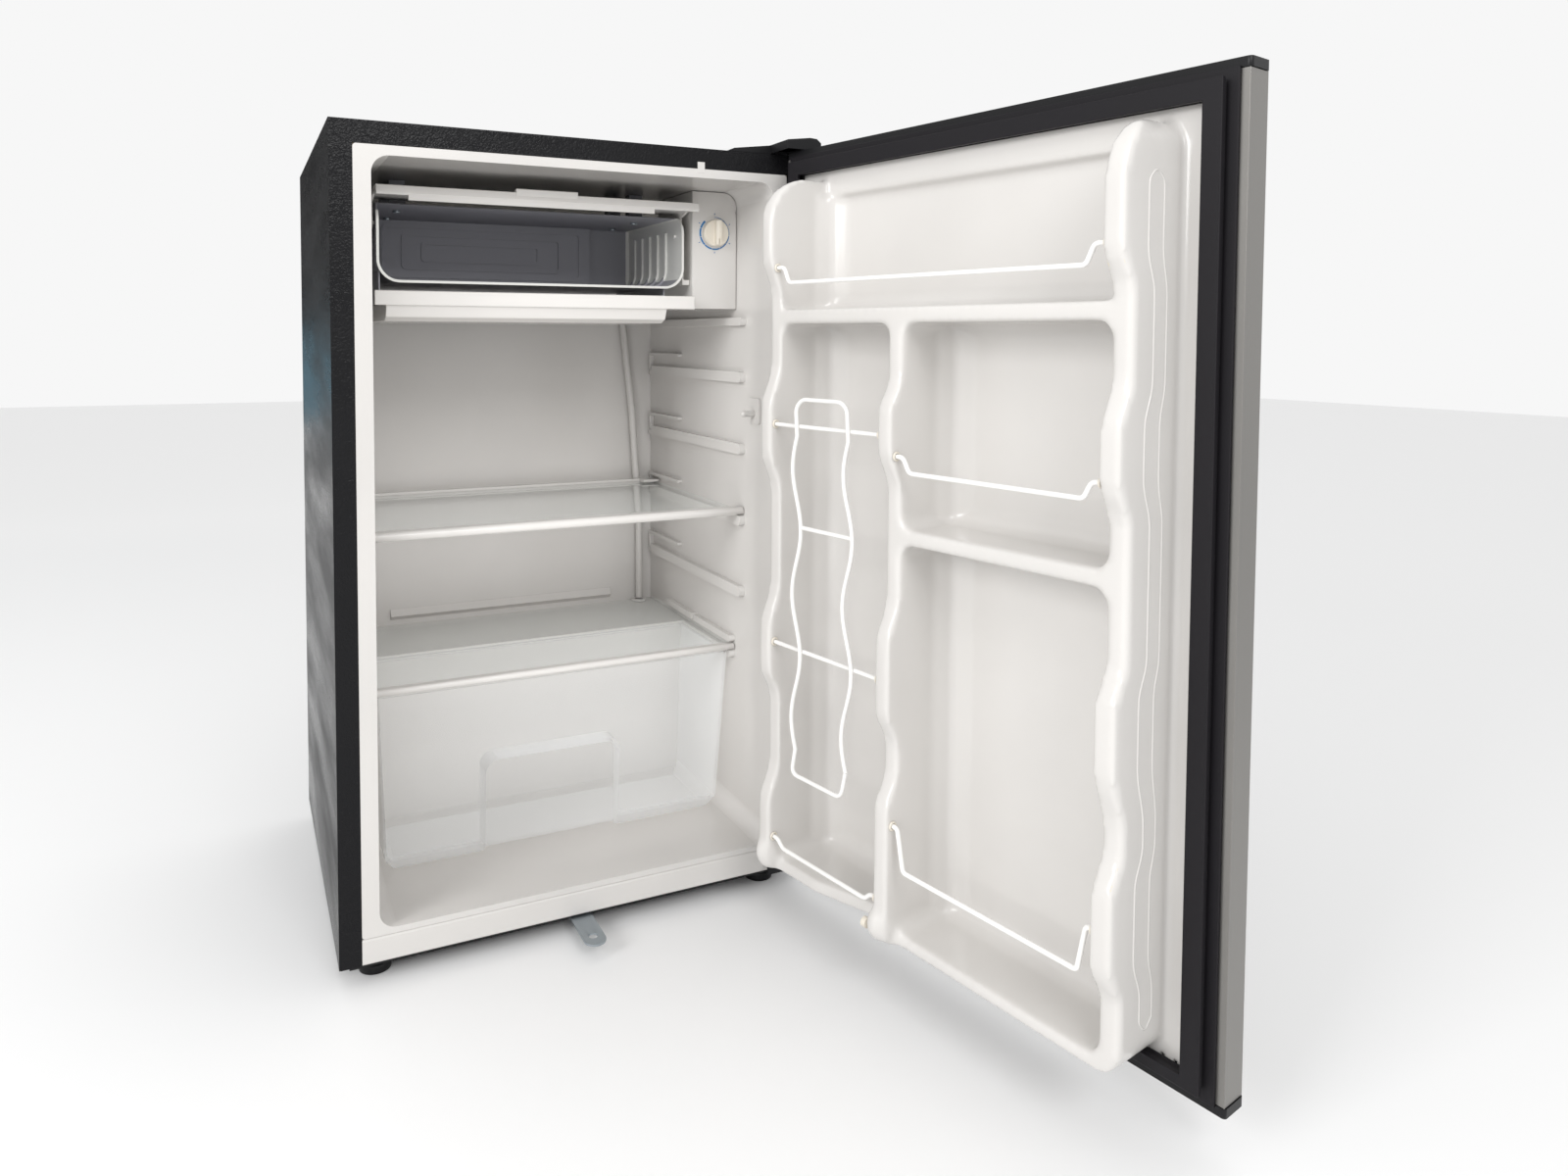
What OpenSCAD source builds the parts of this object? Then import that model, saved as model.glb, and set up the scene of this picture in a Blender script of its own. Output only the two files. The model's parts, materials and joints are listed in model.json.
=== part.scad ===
// Compact refrigerator with one hinged door, a freezer box and a clear crisper drawer.
// Millimetres. X to the right, Y to the back, Z up. The floor is z = 0 and the origin is
// the middle of the four feet. Modules are written from the cabinet's lower front left
// corner, and cab() moves them into place. The door is written shut, and swing() opens it.

/* [Cabinet] */
// cabinet width
cab_w = 480; // [440:1:520]
// cabinet depth from the front flange to the back panel
cab_d = 396; // [360:1:440]
// cabinet height above its base
cab_h = 772; // [700:1:860]
// clearance under the base, the height of the feet
foot_h = 20; // [16:1:30]
// width of the dark front flange
flange_w = 20; // [14:0.5:26]
// steel sheet thickness of the cabinet
sheet_t = 0.8; // [0.6:0.1:1.2]

/* [Inner liner] */
// side wall thickness, outside to cavity
wall_w = 36; // [30:1:45]
// cavity floor height above the base
floor_z = 30; // [24:1:40]
// cavity depth from the front flange
cav_d = 356; // [320:1:380]
// plastic sheet thickness
liner_t = 1.6; // [1:0.1:2.5]
// corner radius of the cavity seen from the front
cav_r = 16; // [8:1:30]
// height of the plateau over the compressor
hump_z = 218; // [180:1:240]
// depth at which the plateau starts
hump_y = 228; // [200:1:260]
// distance between shelf levels
rail_step = 81; // [70:1:95]
// height of the highest shelf rail
rail_top_z = 540; // [500:1:560]

/* [Compressor bay] */
// depth at which the compressor bay starts
bay_y = 262; // [250:1:280]
// height of the compressor bay
bay_z = 186; // [170:1:200]

/* [Door] */
// open angle of the door
door_open = 101.7; // [0:0.1:130]
// thickness of the door panel
door_t = 25; // [20:0.5:35]
// gap between the door panel and the cabinet, filled by the gasket
door_gap = 12; // [10:0.5:15]
// lower end of the door above the base
door_z0 = 25.5; // [10:0.5:40]
// upper end of the door above the base
door_z1 = 771.5; // [760:0.5:775]
// distance of the hinge axis from the cabinet side
hinge_in = 12; // [8:0.5:20]
// distance of the hinge axis in front of the flange
hinge_out = 25.5; // [20:0.5:35]
// depth of the door shelves' front face
ledge_w = 60; // [50:1:70]
// depth of the bulges that carry the wires
bulge_w = 73; // [60:1:80]

/* [Freezer] */
// freezer flap angle, 0 is folded up and 90 is shut
flap_turn = 0; // [0:1:90]
// height of the flap's pivot
flap_z = 692; // [680:1:700]
// depth of the flap's pivot
flap_y = 109; // [100:1:120]

/* [Pulled out] */
// travel of the drawer
drawer_out = 0; // [0:1:120]
// travel of the drip tray
tray_out = 0; // [0:1:150]
// travel of the glass shelf
shelf_out = 0; // [0:1:100]
// travel of the glass over the drawer
cover_out = 0; // [0:1:80]
// turn of the thermostat knob
knob_turn = 0; // [-180:1:120]

/* [Hidden] */
cav_x0 = wall_w;
cav_x1 = cab_w - wall_w;
cav_z1 = cab_h - 30;
hinge_x = cab_w - hinge_in;
$fn = 48;

// ---------- helpers ----------
module cab() {
  translate([-cab_w / 2, -cab_d / 2, foot_h]) children();
}

// door pieces are written with u from the hinge edge, w towards the cabinet, z up
module swing() {
  cab()
    translate([hinge_x, -hinge_out, 0])
      rotate([0, 0, door_open])
        translate([-hinge_x, hinge_out, 0])
          translate([cab_w, -door_gap, 0])
            mirror([1, 0, 0]) children();
}

module box(a, b) {
  translate(a) cube([b[0] - a[0], b[1] - a[1], b[2] - a[2]]);
}

// flat drawing of a rectangle with round corners, from corner a to corner b
module rrect(a, b, r) {
  translate([a[0] + r, a[1]]) square([b[0] - a[0] - 2 * r, b[1] - a[1]]);
  translate([a[0], a[1] + r]) square([b[0] - a[0], b[1] - a[1] - 2 * r]);
  for (x = [a[0] + r, b[0] - r])
    for (y = [a[1] + r, b[1] - r])
      translate([x, y]) circle(r);
}

// extrudes a drawing of x and z along y, from y0 to y1
module along_y(y0, y1) {
  translate([0, y1, 0]) rotate([90, 0, 0]) linear_extrude(y1 - y0) children();
}

// extrudes a drawing of y and z along x, from x0 to x1
module along_x(x0, x1) {
  translate([x0, 0, 0]) rotate([90, 0, 90]) linear_extrude(x1 - x0) children();
}

// extrudes a drawing of x and y along z, from z0 to z1
module along_z(z0, z1) {
  translate([0, 0, z0]) linear_extrude(z1 - z0) children();
}

// round rod between two points
module rod(a, b, r) {
  d = b - a;
  len = norm(d);
  translate(a)
    rotate([0, acos(d[2] / len), atan2(d[1], d[0])])
      cylinder(h = len, r = r);
}

// round rod along a list of points, with a slightly thicker ball at each bend
module wire(p, r) {
  for (i = [0 : len(p) - 2]) rod(p[i], p[i + 1], r);
  for (i = [1 : len(p) - 2]) translate(p[i]) sphere(r * 1.06, $fn = 32);
}

module pan_screw(p, turn, r, head, len) {
  translate(p) rotate(turn) difference() {
    union() {
      cylinder(h = head, r = r);
      translate([0, 0, -len]) cylinder(h = len + 0.1, r = r * 0.5);
    }
    for (a = [0, 90])
      rotate([0, 0, a]) translate([-r * 0.55, -0.5, head * 0.45]) cube([r * 1.1, 1, head]);
  }
}

// ---------- cabinet ----------
module outer_shell() {
  color("#1A1819") cab() {
    difference() {
      box([0, 0, 0], [cab_w, cab_d - 4, cab_h]);
      box([sheet_t, sheet_t, -1], [cab_w - sheet_t, cab_d, cab_h - sheet_t]);
      box([flange_w, -1, -1], [cab_w - flange_w, 2, cab_h - flange_w - 0.7]);
      for (x = [422, 446])
        translate([x, 22, cab_h - 3]) cylinder(h = 6, r = 2.15);
    }
  }
}

module back_panel() {
  color("#2A2A2C") cab() {
    difference() {
      union() {
        box([1, cab_d - 3.7, bay_z + 6], [cab_w - 1, cab_d - 2.9, cab_h - 1]);
        for (i = [0 : 4])
          box([60 + 80 * i, cab_d - 3, 260], [100 + 80 * i, cab_d - 1.2, 720]);
      }
      for (i = [0 : 4])
        box([60.8 + 80 * i, cab_d - 5, 260.8], [99.2 + 80 * i, cab_d - 2, 719.2]);
      for (x = [4.5, cab_w - 4.5])
        for (z = [230, 490, 750])
          translate([x, cab_d + 1, z]) rotate([90, 0, 0]) cylinder(h = 8, r = 1.55);
    }
  }
}

module back_screws() {
  color("#4A4B4D") cab()
    for (x = [4.5, cab_w - 4.5])
      for (z = [230, 490, 750])
        pan_screw([x, cab_d - 2.8, z], [-90, 0, 0], 2.8, 1.6, 8);
}

module compressor_bay_panel() {
  color("#A9ADB0") cab() {
    difference() {
      along_x(1.2, cab_w - 1.2) {
        translate([bay_y, 0]) square([0.8, bay_z]);
        translate([bay_y, bay_z - 0.8]) square([cab_d - bay_y - 5, 0.8]);
        translate([cab_d - 5.8, bay_z - 14]) square([0.8, 14]);
      }
      translate([423, 288, bay_z - 5]) cylinder(h = 10, r = 9);
    }
  }
}

module base_frame() {
  color("#161618") cab() {
    difference() {
      union() {
        box([1.2, 1.2, -1], [cab_w - 1.2, bay_y - 0.4, -0.2]);
        for (x = [10, cab_w - 11.5])
          box([x, 12, -9], [x + 1.5, cab_d - 8, -0.5]);
        box([10, 12, -9], [cab_w - 10, 13.5, -0.5]);
        box([10, cab_d - 60, -1.8], [cab_w - 10, cab_d - 8, -0.2]);
        box([10, cab_d - 9.5, -9], [cab_w - 10, cab_d - 8, -0.5]);
        for (x = [10, cab_w - 60])
          box([x, bay_y - 20, -1.8], [x + 50, cab_d - 50, -0.2]);
      }
      for (x = [35, cab_w - 35])
        for (y = [30, cab_d - 30])
          translate([x, y, -10]) cylinder(h = 14, r = 4.1);
      for (x = [412, 452])
        translate([x, 48, -10]) cylinder(h = 14, r = 2.15);
      translate([230, 20, -10]) cylinder(h = 14, r = 2.15);
      for (x = [110, 250])
        for (y = [cab_d - 80, cab_d - 20])
          translate([x, y, -10]) cylinder(h = 14, r = 3);
      // notches for the lower hinge and the strap
      box([395, 11, -4.2], [475, 16.6, -1.1]);
      box([218, 11, -4.3], [242, 14.6, -1.6]);
    }
  }
}

module cavity(g) {
  // the cavity's space, grown by g, without the room over the compressor
  difference() {
    along_y(-5, cav_d + g)
      rrect([cav_x0 - g, floor_z - g], [cav_x1 + g, cav_z1 + g], cav_r + g);
    box([0, hump_y + g, 0], [cab_w, cab_d, hump_z - g]);
  }
}

module cabinet_foam() {
  color("#E3D9A8") cab() {
    difference() {
      box([8, 2.2, 2], [cab_w - 8, cab_d - 6, cab_h - 1.2]);
      cavity(liner_t + 0.3);
      box([0, bay_y - 0.3, -1], [cab_w, cab_d, bay_z + 0.3]);
      box([flange_w - 1, 0, 0], [cab_w - flange_w + 1, 4, cab_h]);
      box([flange_w - 2, 0, 0], [cab_w - flange_w + 2, 18, 28]);
      // channels and pilot holes
      translate([423, 288, bay_z - 1]) cylinder(h = 8, r = 9);
      translate([423, 345, bay_z - 1]) cylinder(h = 40, r = 9);
      for (x = [422, 446])
        translate([x, 22, cab_h - 16]) cylinder(h = 20, r = 3);
      translate([445, 38, 495]) rotate([0, 90, 0]) cylinder(h = 27.5, r = 9);
      for (x = [80, 345])
        for (y = [156, 230])
          translate([x, y, cav_z1 - 1]) cylinder(h = 12, r = 2.4);
    }
  }
}

// one shelf support on a side wall: long lower rail, short upper rib
module rail(z, low) {
  along_x(cav_x1 - 7, cav_x1 + 0.5) {
    translate([low + 6, z - 12]) square([336 - low - 6, 12]);
    translate([low + 6, z - 6]) circle(6);
  }
  along_x(cav_x1 - 6, cav_x1 + 0.5) {
    translate([247, z + 13.5]) square([100, 4]);
    translate([247, z + 15.5]) circle(2);
    translate([343, z - 12]) square([4, 27]);
    translate([330, z - 12]) square([16, 6]);
  }
}

module side_rails() {
  for (i = [0 : 3]) rail(rail_top_z - rail_step * i, 63);
  // support under the drip tray level
  along_x(cav_x1 - 7, cav_x1 + 0.5) {
    translate([66, 592]) square([270, 9]);
    translate([66, 596.5]) circle(4.5);
  }
  // crisper cover: ledge below the glass, two ribs above it
  along_x(cav_x1 - 7, cav_x1 + 0.5) {
    translate([92, 209]) square([hump_y - 91.5, 9.7]);
    translate([92, 213.85]) circle(4.85);
    translate([92, 227.5]) square([100, 7]);
    translate([92, 231]) circle(3.5);
    translate([200, 227.5]) square([80, 7]);
  }
}

module inner_liner() {
  color("#E9E5DF") cab() {
    difference() {
      union() {
        difference() {
          union() {
            cavity(liner_t);
            along_y(0, liner_t)
              rrect([flange_w + 0.3, 24.3], [cab_w - flange_w - 0.3, cab_h - flange_w - 1], 3);
          }
          cavity(0);
          box([0, -10, 0], [cab_w, 0, cab_h]);
        }
        side_rails();
        translate([cab_w, 0, 0]) mirror([1, 0, 0]) side_rails();
        // small locating tab on the upper edge of the flange
        box([356, -0.3, cab_h - 25], [364, -0.05, cab_h - 14]);
        box([356, -0.3, cab_h - 25], [364, 0.5, cab_h - 22]);
        // drain gutter on the back wall
        along_x(cav_x0 + 60, cav_x1 - 60)
          translate([cav_d - 7, hump_z + 12]) polygon([[0, 0], [7.5, -6], [7.5, 8], [6, 8]]);
      }
      // hole for the suction line, hole for the door switch, holes for fixings
      translate([423, cav_d - 11, hump_z - 10]) cylinder(h = 20, r = 8.3);
      translate([440, 38, 495]) rotate([0, 90, 0]) cylinder(h = 10, r = 7.2);
      for (x = [80, 345])
        for (y = [156, 230])
          translate([x, y, cav_z1 - 1]) cylinder(h = 8, r = 2.15);
    }
  }
}

module bottom_trim() {
  color("#E4DFD9") cab() {
    difference() {
      along_x(flange_w + 0.3, cab_w - flange_w - 0.3)
        polygon([[0.4, 0], [-0.4, 1.4], [-0.4, 21.8], [0.4, 23.8], [14, 23.8], [14, 21.8],
          [2.2, 21.8], [2.2, 2], [14, 2], [14, 0]]);
      box([436, -5, -1], [476, 0.2, 18]);
    }
  }
}

// ---------- freezer ----------
ev_x0 = 51.5;
ev_x1 = 378.5;
ev_z0 = 633;
ev_z1 = 712;
ev_y0 = 90;
ev_y1 = 300;

module evaporator_outline(g) {
  rrect([ev_x0 + g, ev_z0 + g], [ev_x1 - g, ev_z1 - g], 22 - g);
  translate([ev_x0 + g, ev_z1 - 30]) square([ev_x1 - ev_x0 - 2 * g, 30 - g]);
}

module evaporator() {
  color("#8F9391") cab() {
    difference() {
      union() {
        difference() {
          along_y(ev_y0, ev_y1) evaporator_outline(0);
          along_y(ev_y0 - 1, ev_y1 + 1) evaporator_outline(1.4);
        }
        // rolled front rim along the sides and the floor
        difference() {
          along_y(ev_y0 - 1.2, ev_y0 + 1.8) evaporator_outline(-0.6);
          along_y(ev_y0 - 2, ev_y0 + 3) evaporator_outline(1.9);
        }
        // refrigerant channels pressed into the right wall
        for (i = [0 : 5])
          along_y(134 + 25 * i, 138.5 + 25 * i) {
            translate([ev_x1 - 3.6, 654]) square([2.8, 44]);
            difference() {
              translate([ev_x1 - 22, ev_z0 + 22]) circle(21.2);
              translate([ev_x1 - 22, ev_z0 + 22]) circle(18.4);
              translate([ev_x1 - 60, ev_z0 + 22]) square([80, 40]);
              translate([ev_x1 - 70, 630]) square([48, 50]);
            }
          }
        // rear wall with three nested channels, folded back before it meets the right wall
        box([60, 250, ev_z0 + 0.6], [322, 251.4, ev_z1 - 0.6]);
        box([320.6, 250, ev_z0 + 0.6], [322, 262, ev_z1 - 0.6]);
        box([320.6, 260.6, ev_z0 + 0.6], [ev_x1 - 0.9, 262, ev_z1 - 0.6]);
        for (i = [0 : 2])
          along_y(248.6, 250.4) difference() {
            rrect([76 + 22 * i, 646 + 9 * i], [312 - 26 * i, 706 - 9 * i], 7 - i);
            rrect([80 + 22 * i, 650 + 9 * i], [308 - 26 * i, 702 - 9 * i], 4 - i);
          }
        // hangers up to the liner's ceiling
        for (x = [72, 337])
          for (y = [150, 224])
            box([x, y, ev_z1 - 1], [x + 16, y + 12, cav_z1 - 0.4]);
        // runners that carry the drip tray
        box([53.6, 96, 611.5], [54.8, 250, 643.6]);
        box([53.6, 96, 611.5], [57.6, 250, 612.7]);
        box([357.4, 96, 611.5], [358.6, 250, 633.8]);
        box([354.4, 96, 611.5], [358.6, 250, 612.7]);
      }
      // the sides slant back at the top to let the flap turn
      along_x(0, cab_w) difference() {
        translate([ev_y0 - 6, flap_z + 2]) square([flap_y - ev_y0 + 5, 40]);
        translate([flap_y, flap_z]) circle(20.5);
      }
      // pivot holes of the flap
      translate([ev_x0 - 8, flap_y, flap_z]) rotate([0, 90, 0]) cylinder(h = 20, r = 2.05);
      translate([ev_x1 - 8, flap_y, flap_z]) rotate([0, 90, 0]) cylinder(h = 20, r = 2.05);
      for (x = [80, 345])
        for (y = [156, 230])
          translate([x, y, ev_z1 - 3]) cylinder(h = 40, r = 2.15);
    }
  }
}

module evaporator_screws() {
  color("#B8BABB") cab()
    for (x = [80, 345])
      for (y = [156, 230])
        pan_screw([x, y, ev_z1 - 1.6], [180, 0, 0], 4, 2.2, cav_z1 - ev_z1 + 6);
}

module evaporator_clip() {
  color("#EDEBE7") cab() {
    box([ev_x1 + 0.9, 94, 637], [388.4, 104, 643]);
    box([ev_x1 + 0.9, 94, 637], [ev_x1 + 2.6, 104, 652]);
  }
}

module freezer_flap() {
  color("#E6E1DB") cab()
    translate([0, flap_y, flap_z]) rotate([flap_turn, 0, 0]) translate([0, -flap_y, -flap_z]) {
      difference() {
        union() {
          // panel with a stepped front edge
          along_x(47, 382.5)
            polygon([[55, 716.5], [56.5, 723.4], [58, 724], [130, 722.4], [132, 720.4],
              [132, 718.6], [62, 716.6], [60, 714.6], [55.6, 714.6]]);
          // lip that hangs from the front edge
          along_x(77, 331)
            polygon([[55.3, 715.5], [56, 709.8], [58.2, 709.8], [60, 715.5]]);
          // finger tab
          along_x(182, 246)
            polygon([[55.2, 720], [54.4, 726.6], [56, 727.4], [64, 725], [64, 722]]);
          // arms to the pivots
          for (x = [47, 380])
            along_x(x, x + 2.5) {
              translate([flap_y, flap_z]) circle(6);
              translate([flap_y - 6, flap_z]) square([12, 28]);
              polygon([[flap_y - 6, 712], [flap_y + 6, 712], [128, 720], [76, 720]]);
            }
          // pivot pins
          translate([49, flap_y, flap_z]) rotate([0, 90, 0]) cylinder(h = 5.2, r = 2);
          translate([375, flap_y, flap_z]) rotate([0, 90, 0]) cylinder(h = 6, r = 2);
        }
        // shallow field on the inner face
        along_y(70, 120) rrect([70, 717.0 - 1.2], [360, 717.0 + 0.4], 0.5);
      }
    }
}

module drip_tray() {
  color("#E4E0DA") cab() translate([0, -tray_out, 0]) {
    difference() {
      union() {
        // front lip
        along_x(47, 386)
          polygon([[74, 609.6], [73.6, 611], [73.6, 623], [74.4, 624], [79, 624], [79, 609.6]]);
        // basin
        along_x(58, 354)
          polygon([[76, 611], [82, 598], [92, 594], [240, 594], [248, 600], [248, 616],
            [76, 616]]);
        // rims that slide on the runners
        box([55.4, 90, 613], [356.8, 248, 615]);
      }
      along_x(60.2, 351.8)
        polygon([[79, 612], [84, 600.4], [93, 596.2], [239, 596.2], [245.8, 601.4],
          [245.8, 630], [79, 630]]);
    }
  }
}

// ---------- thermostat ----------
knob_x = 416;
knob_z = 695.5;
hous_y = 88;

module housing_outline(g) {
  translate([389 + g, 611 + g]) square([54 - 2 * g, 108 - g]);
  translate([389 + g, 700]) square([38 - g, 41.2 - g]);
  translate([427, 725.2]) circle(16 - g);
}

module thermostat_housing() {
  color("#E2DDDA") cab() {
    difference() {
      union() {
        difference() {
          along_y(hous_y, 190) intersection() {
            housing_outline(0);
            translate([380, 600]) square([63.4, 141.6]);
          }
          along_y(hous_y + 2, 188) intersection() {
            housing_outline(2);
            translate([380, 600]) square([61.4, 139.6]);
          }
        }
        // dished seat of the knob
        translate([knob_x, hous_y + 3, knob_z]) rotate([90, 0, 0]) cylinder(h = 3.2, r = 19.6);
      }
      translate([knob_x, hous_y + 4.5, knob_z]) rotate([90, 0, 0]) cylinder(h = 6, r = 4.2);
      // slots that let cold air reach the sensor
      for (i = [0 : 5])
        box([396 + 7 * i, 120, 610], [399 + 7 * i, 175, 614]);
    }
  }
}

module dial_scale() {
  color("#3F7FA8") cab()
    translate([knob_x, hous_y - 0.25, knob_z]) rotate([90, 0, 0]) {
      // band that grows from thin to thick, with a gap at the upper left
      for (i = [0 : 9])
        rotate([0, 0, 90 - 32 * i - 30]) rotate_extrude(angle = 30)
          translate([17.8 - 0.14 * i, 0]) square([0.5 + 0.17 * i, 0.35]);
      // six marks
      for (a = [0 : 5])
        rotate([0, 0, 90 - 60 * a]) translate([20.6, -0.35, 0]) cube([1.8, 0.7, 0.35]);
    }
}

module thermostat_knob() {
  color("#EDE6D8") cab()
    translate([knob_x, hous_y - 0.6, knob_z]) rotate([90, 0, 0]) rotate([0, 0, knob_turn]) {
      difference() {
        union() {
          rotate_extrude()
            polygon([[0, 0], [15, 0], [15, 5.5], [14.2, 6.5], [0, 6.5]]);
          intersection() {
            translate([-3, -13.6, 6]) cube([6, 27.2, 7]);
            cylinder(h = 14, r = 13.6);
          }
        }
        translate([-0.7, -13.8, 11]) cube([1.4, 7, 3]);
        for (s = [-1, 1])
          translate([s * 3, 0, 12]) rotate([0, s * 18, 0]) translate([-0.2, -20, 0])
            cube([4, 40, 4]);
      }
      // bush that runs in the housing's hole, and the shaft behind it
      translate([0, 0, -7.4]) cylinder(h = 7.5, r = 4.15);
      translate([0, 0, -20]) cylinder(h = 13, r = 3);
    }
}

module thermostat_body() {
  color("#B9BCBD") cab() {
    difference() {
      union() {
        box([400, hous_y + 11, 676], [432, hous_y + 45, 716]);
        box([396, hous_y + 9.5, 684], [436, hous_y + 11, 707]);
        translate([knob_x, hous_y + 11, knob_z]) rotate([90, 0, 0]) cylinder(h = 2, r = 6);
      }
      translate([knob_x, hous_y + 30, knob_z]) rotate([90, 0, 0]) cylinder(h = 24, r = 3.2);
    }
  }
}

// ---------- suction line ----------
module suction_sleeve() {
  color("#EFEDEA") cab()
    wire([[398, 345, 610], [413, 346.5, 480], [423, 346, 330], [423, 345, hump_z + 5]], 4.6);
}

module line_grommet() {
  color("#C9C6C1") cab()
    difference() {
      union() {
        translate([423, 345, hump_z + 0.3]) cylinder(h = 3.2, r = 10.5);
        translate([423, 345, hump_z - 5]) cylinder(h = 6, r = 7.9);
      }
      translate([423, 345.4, hump_z - 8]) cylinder(h = 20, r = 5.2);
    }
}

// ---------- glass shelves and drawer ----------
shelf_z = rail_top_z - 2 * rail_step + 0.4;

module shelf_glass() {
  color("#BFD8CF", 0.35) cab() translate([0, -shelf_out, 0])
    box([38.2, 66.3, shelf_z + 1.6], [cab_w - 38.2, 338, shelf_z + 5.6]);
}

module shelf_trim() {
  color("#EFECE8") cab() translate([0, -shelf_out, 0]) {
    difference() {
      along_x(37.4, cab_w - 37.4) {
        translate([69.4, shelf_z + 4.4]) circle(4.7);
        translate([69.4, shelf_z + 0.2]) square([10, 8.8]);
      }
      box([30, 66, shelf_z + 1.3], [cab_w - 30, 90, shelf_z + 5.9]);
      for (x = [30, cab_w - 45.5])
        box([x, 63.5, shelf_z - 2], [x + 15.5, 90, shelf_z + 1.3]);
    }
    // rear runners keep the glass level on the rails
    difference() {
      box([37.4, 320, shelf_z], [cab_w - 37.4, 341, shelf_z + 9]);
      box([30, 310, shelf_z + 1.3], [cab_w - 30, 338.3, shelf_z + 5.9]);
      box([60, 300, shelf_z - 5], [cab_w - 60, 335, shelf_z + 20]);
    }
  }
}

module crisper_glass() {
  color("#BFD8CF", 0.35) cab() translate([0, -cover_out, 0])
    box([38.4, 88.3, 220.2], [cab_w - 38.4, 330, 224.2]);
}

module crisper_trim() {
  color("#EFECE8") cab() translate([0, -cover_out, 0])
    difference() {
      along_x(38, cab_w - 38) {
        translate([89.5, 222.2]) circle(3.6);
        translate([89.5, 219]) square([8, 6.4]);
      }
      box([30, 88, 219.9], [cab_w - 30, 100, 224.5]);
      for (x = [30, cab_w - 45.5])
        box([x, 86, 210], [x + 15.5, 110, 219.9]);
    }
}

dr_x0 = 46;
dr_x1 = 434;

module drawer_side(g) {
  // outline of the drawer in y and z, front wall leaning back at the bottom
  polygon([[90 + g, 217], [103 + g, 42 + g], [110 + g, 30.4 + g], [204 - g, 30.4 + g],
    [216 - g, 44 + g], [222 - g, 217]]);
}

module drawer_front(g) {
  // outline of the drawer in x and z
  polygon([[dr_x0 + g, 217], [dr_x0 + 8 + g, 44 + g], [dr_x0 + 18 + g, 30.4 + g],
    [dr_x1 - 18 - g, 30.4 + g], [dr_x1 - 8 - g, 44 + g], [dr_x1 - g, 217]]);
}

module drawer_body(g) {
  difference() {
    intersection() {
      along_x(dr_x0 - 5, dr_x1 + 5) drawer_side(g);
      along_y(60, 250) drawer_front(g);
    }
    // finger recess in the middle of the front
    along_y(60, 118 + g) rrect([157 - g, -20], [305 + g, 132 + g], 14);
  }
}

module crisper_drawer() {
  color("#D9E2E4", 0.35) cab() translate([0, -drawer_out, 0]) {
    difference() {
      drawer_body(0);
      difference() {
        drawer_body(2.4);
        box([0, 0, 0], [500, 400, 32.8]);
      }
      along_y(60, 300) translate([dr_x0 - 20, 216.4]) square([450, 5]);
    }
    // rim along the back and the sides
    difference() {
      box([dr_x0 - 2, 93, 213.4], [dr_x1 + 2, 225, 216.4]);
      box([dr_x0 + 2, 80, 200], [dr_x1 - 2, 220, 230]);
    }
  }
}

// ---------- hinges ----------
module top_hinge_plate() {
  color("#3A3A3C") cab() {
    difference() {
      union() {
        box([404, 10, cab_h + 0.2], [474, 34, cab_h + 2.6]);
        box([443.4, -6, cab_h + 0.2], [474, 12, cab_h + 2.6]);
        along_z(cab_h + 0.2, cab_h + 2.6) {
          translate([hinge_x, -hinge_out]) circle(9);
          translate([hinge_x - 9, -hinge_out]) square([15, 30]);
        }
        translate([hinge_x, -hinge_out, cab_h - 17]) cylinder(h = 19, r = 4);
      }
      for (x = [422, 446])
        translate([x, 22, cab_h - 1]) cylinder(h = 6, r = 2.15);
    }
  }
}

module hinge_cover() {
  color("#131314") cab() {
    difference() {
      union() {
        along_y(0.5, 42)
          polygon([[391, cab_h + 0.3], [398, cab_h + 3.6], [466, cab_h + 12.6], [474, cab_h + 12],
            [479, cab_h + 8], [479, cab_h + 0.3]]);
        along_y(-38.5, 1)
          polygon([[440, cab_h + 0.3], [440, cab_h + 9.2], [466, cab_h + 12.6],
            [474, cab_h + 12], [479, cab_h + 8], [479, cab_h + 0.3]]);
      }
      along_y(2, 40)
        polygon([[392.6, cab_h - 1], [392.6, cab_h + 1], [399, cab_h + 2.9],
          [466, cab_h + 10.8], [473, cab_h + 10.3], [477.4, cab_h + 7], [477.4, cab_h - 1]]);
      along_y(-37, 3)
        polygon([[441.6, cab_h - 1], [441.6, cab_h + 7.8], [466, cab_h + 10.8],
          [473, cab_h + 10.3], [477.4, cab_h + 7], [477.4, cab_h - 1]]);
    }
  }
}

module hinge_screws() {
  color("#9FA2A5") cab() {
    for (x = [422, 446])
      pan_screw([x, 22, cab_h + 2.7], [0, 0, 0], 3.6, 1.5, 14);
    for (x = [412, 452])
      pan_screw([x, 48, -3.9], [180, 0, 0], 4, 1.8, 5.4);
    pan_screw([230, 20, -4], [180, 0, 0], 4, 1.8, 5.4);
  }
}

module lower_hinge_bracket() {
  color("#1C1C1E") cab() {
    difference() {
      union() {
        box([396, 14.2, -3.8], [468, 62, -1.3]);
        box([440, -3.6, -3.8], [474, 16, -1.3]);
        box([440, -3.6, -3.8], [474, -1.1, 14]);
        along_z(11.5, 14) {
          translate([hinge_x - 18, -hinge_out]) square([24, 24.5]);
          translate([hinge_x, -hinge_out]) circle(11);
        }
        translate([hinge_x, -hinge_out, 12]) cylinder(h = 29, r = 4);
        translate([hinge_x, -hinge_out, 13]) cylinder(h = 11.8, r = 7);
      }
      for (x = [412, 452])
        translate([x, 48, -10]) cylinder(h = 14, r = 2.15);
      translate([cab_w - 35, 30, -10]) cylinder(h = 14, r = 4.4);
    }
  }
}

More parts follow.
